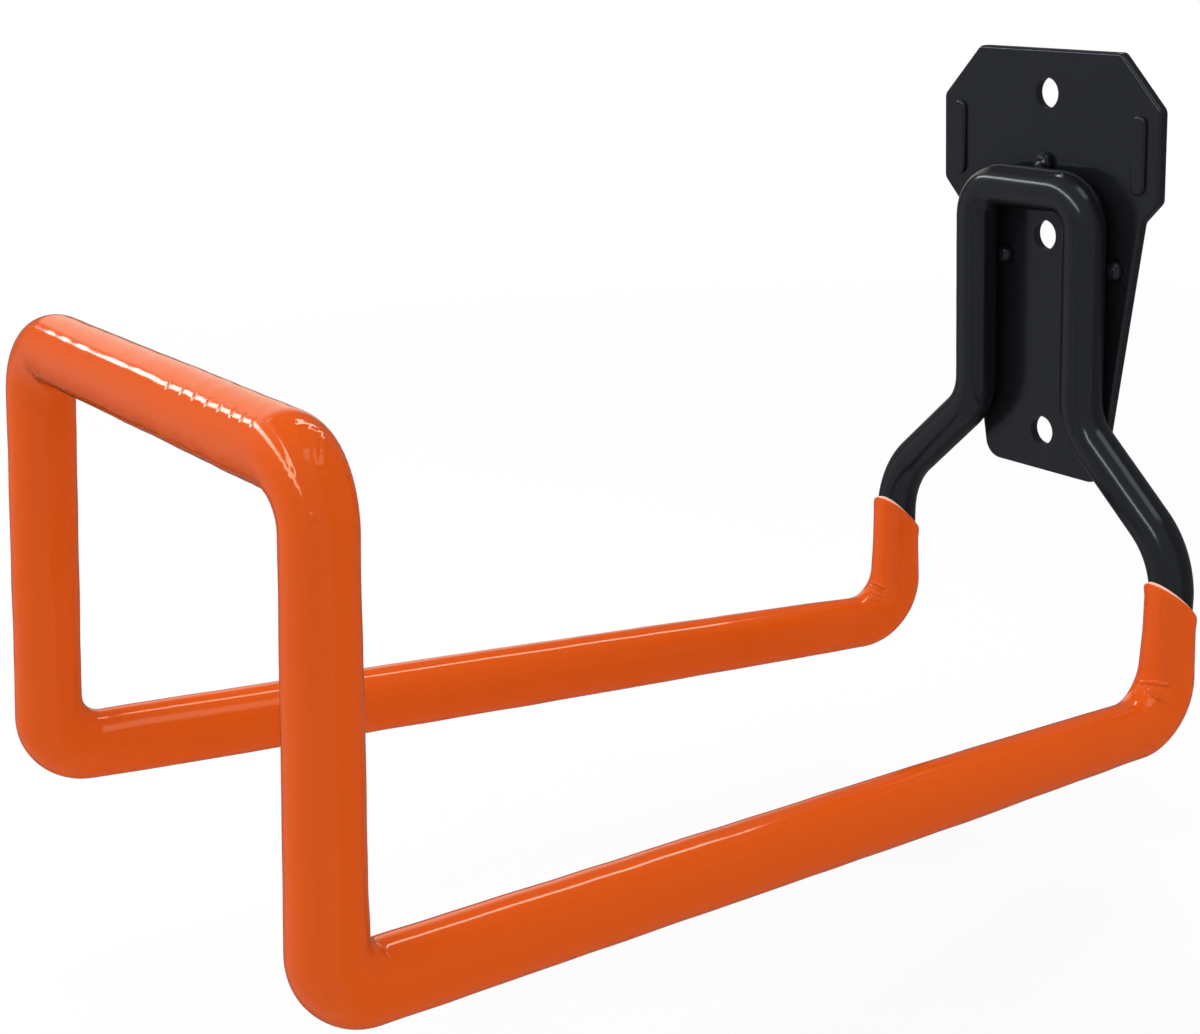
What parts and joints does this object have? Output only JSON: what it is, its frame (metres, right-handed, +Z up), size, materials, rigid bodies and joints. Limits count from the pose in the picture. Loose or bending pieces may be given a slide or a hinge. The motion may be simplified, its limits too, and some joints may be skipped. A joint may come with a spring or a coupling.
{
  "type": "garage wall hook",
  "caption": "Wall hook of bent round bar welded to a stamped screw plate, with rails and an upturned front frame in a soft grip sleeve, to hang ladders, hoses and tools.",
  "frame": {"origin": "on the wall plate's back face, midway between its top and bottom screw holes", "axes": "+X to the right seen from the room, +Y into the wall, +Z up"},
  "size_m": [0.1382, 0.2285, 0.1483],
  "materials": {
    "coated_plate": "satin black powder coat",
    "coated_bar": "satin black powder coat",
    "soft_sleeve": "glossy orange PVC",
    "coated_weld": "black powder coat over weld"
  },
  "bodies": {
    "root": {"wall_plate": "coated_plate", "hook_bar": "coated_bar", "grip_sleeve": "soft_sleeve", "weld_beads": "coated_weld"}
  },
  "joints": []
}
